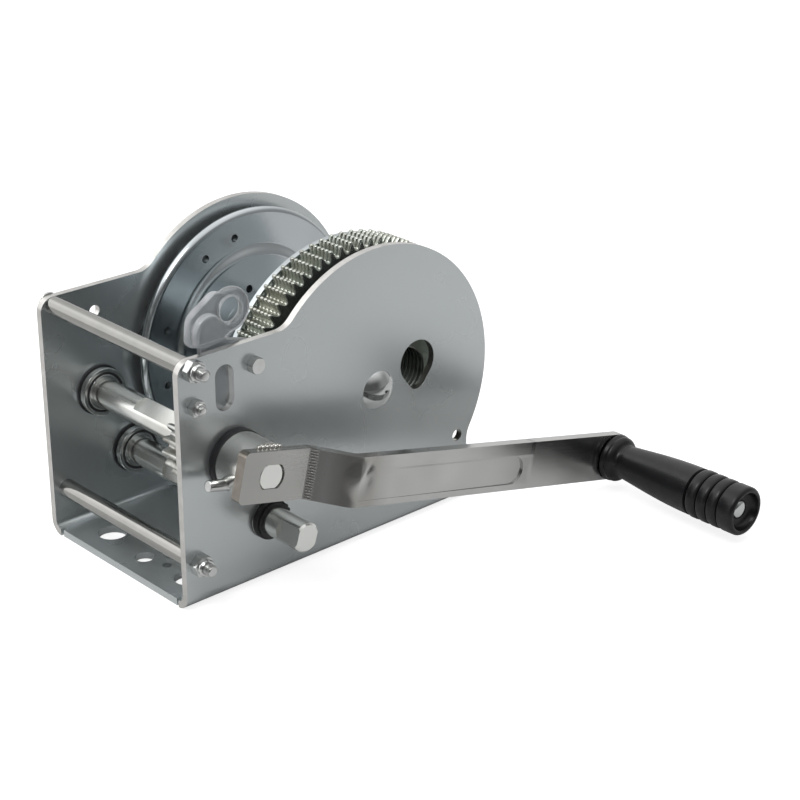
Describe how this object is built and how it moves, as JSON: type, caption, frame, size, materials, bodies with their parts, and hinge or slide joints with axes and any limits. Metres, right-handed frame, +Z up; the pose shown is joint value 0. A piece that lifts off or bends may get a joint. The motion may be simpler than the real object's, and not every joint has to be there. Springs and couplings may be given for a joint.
{
  "type": "two-speed hand winch",
  "caption": "Hand winch with a bent sheet frame, a rope drum with a laminated ring gear, two pinion shafts, a removable crank with a free grip, and a ratchet pawl with a finger ring.",
  "frame": {"origin": "on the underside of the base, on the mid-plane between the side plates, straight below the drum axis", "axes": "+X from the open front with the tie bars towards the drum end, +Y along the drum axis from the crank side to the far side, +Z up from the base"},
  "size_m": [0.2849, 0.2825, 0.1671],
  "materials": {
    "zinc_sheet": "bluish zinc plate, satin",
    "gear_steel": "zinc plated stampings",
    "tie_zinc": "zinc plated tube",
    "fastener_zinc": "bright zinc",
    "bearing_steel": "machined",
    "black_ring": "black",
    "shaft_steel": "turned",
    "crank_nickel": "plated, satin",
    "grip_plastic": "black moulded",
    "lever_plastic": "grey moulded"
  },
  "bodies": {
    "base": {"frame": "zinc_sheet", "tie_tube_top": "tie_zinc", "tie_rod_top": "fastener_zinc", "tie_nut_near_top": "fastener_zinc", "tie_nut_far_top": "fastener_zinc", "tie_tube_bottom": "tie_zinc", "tie_rod_bottom": "fastener_zinc", "tie_nut_near_bottom": "fastener_zinc", "tie_nut_far_bottom": "fastener_zinc", "upper_bushing_near": "bearing_steel", "upper_bushing_far": "bearing_steel", "upper_seal_near": "black_ring", "upper_seal_far": "black_ring", "lower_bushing_near": "bearing_steel", "lower_bushing_far": "bearing_steel", "lower_seal_near": "black_ring", "lower_seal_far": "black_ring", "drum_axle": "fastener_zinc", "axle_nut": "fastener_zinc", "pawl_bolt": "fastener_zinc", "pawl_nut": "fastener_zinc", "stop_bolt": "fastener_zinc", "stop_nut": "fastener_zinc"},
    "drum": {"gear_sheet_1": "gear_steel", "gear_sheet_2": "gear_steel", "gear_sheet_3": "gear_steel", "gear_sheet_4": "gear_steel", "gear_sheet_5": "gear_steel", "gear_sheet_6": "gear_steel", "gear_rivets": "gear_steel", "drum_flange_near": "zinc_sheet", "drum_flange_far": "zinc_sheet", "drum_barrel": "zinc_sheet", "drum_hub": "gear_steel"},
    "upper_drive": {"upper_shaft": "shaft_steel", "high_pinion": "shaft_steel", "ratchet_wheel": "gear_steel", "crank_seal": "black_ring", "crank_hub": "crank_nickel", "crank_arm": "crank_nickel", "set_screw": "fastener_zinc", "grip_pin": "shaft_steel"},
    "lower_drive": {"lower_shaft": "shaft_steel", "low_pinion": "shaft_steel", "lower_collar": "black_ring", "lower_circlip": "black_ring"},
    "crank_grip": {"grip": "grip_plastic"},
    "pawl": {"pawl": "gear_steel", "pawl_lever": "lever_plastic"}
  },
  "joints": [
    {"name": "drum_spin", "type": "hinge", "parent": "base", "child": "drum", "pos_m": [0, 0, 0.0855], "axis": [0, 1, 0], "continuous": true},
    {"name": "upper_shaft_spin", "type": "hinge", "parent": "base", "child": "upper_drive", "pos_m": [-0.0977, 0, 0.0766], "axis": [0, 1, 0], "continuous": true},
    {"name": "lower_shaft_spin", "type": "hinge", "parent": "base", "child": "lower_drive", "pos_m": [-0.0769, 0, 0.0358], "axis": [0, 1, 0], "continuous": true},
    {"name": "grip_spin", "type": "hinge", "parent": "upper_drive", "child": "crank_grip", "pos_m": [0.13936, 0, 0.01881], "axis": [0, 1, 0], "continuous": true},
    {"name": "pawl_hinge", "type": "hinge", "parent": "base", "child": "pawl", "pos_m": [-0.0842, 0, 0.1243], "axis": [0, 1, 0], "range_deg": [0, 12]}
  ],
  "couplings": [
    {"joint": "upper_shaft_spin", "follows": "drum_spin", "ratio": -4},
    {"joint": "lower_shaft_spin", "follows": "drum_spin", "ratio": -6}
  ]
}
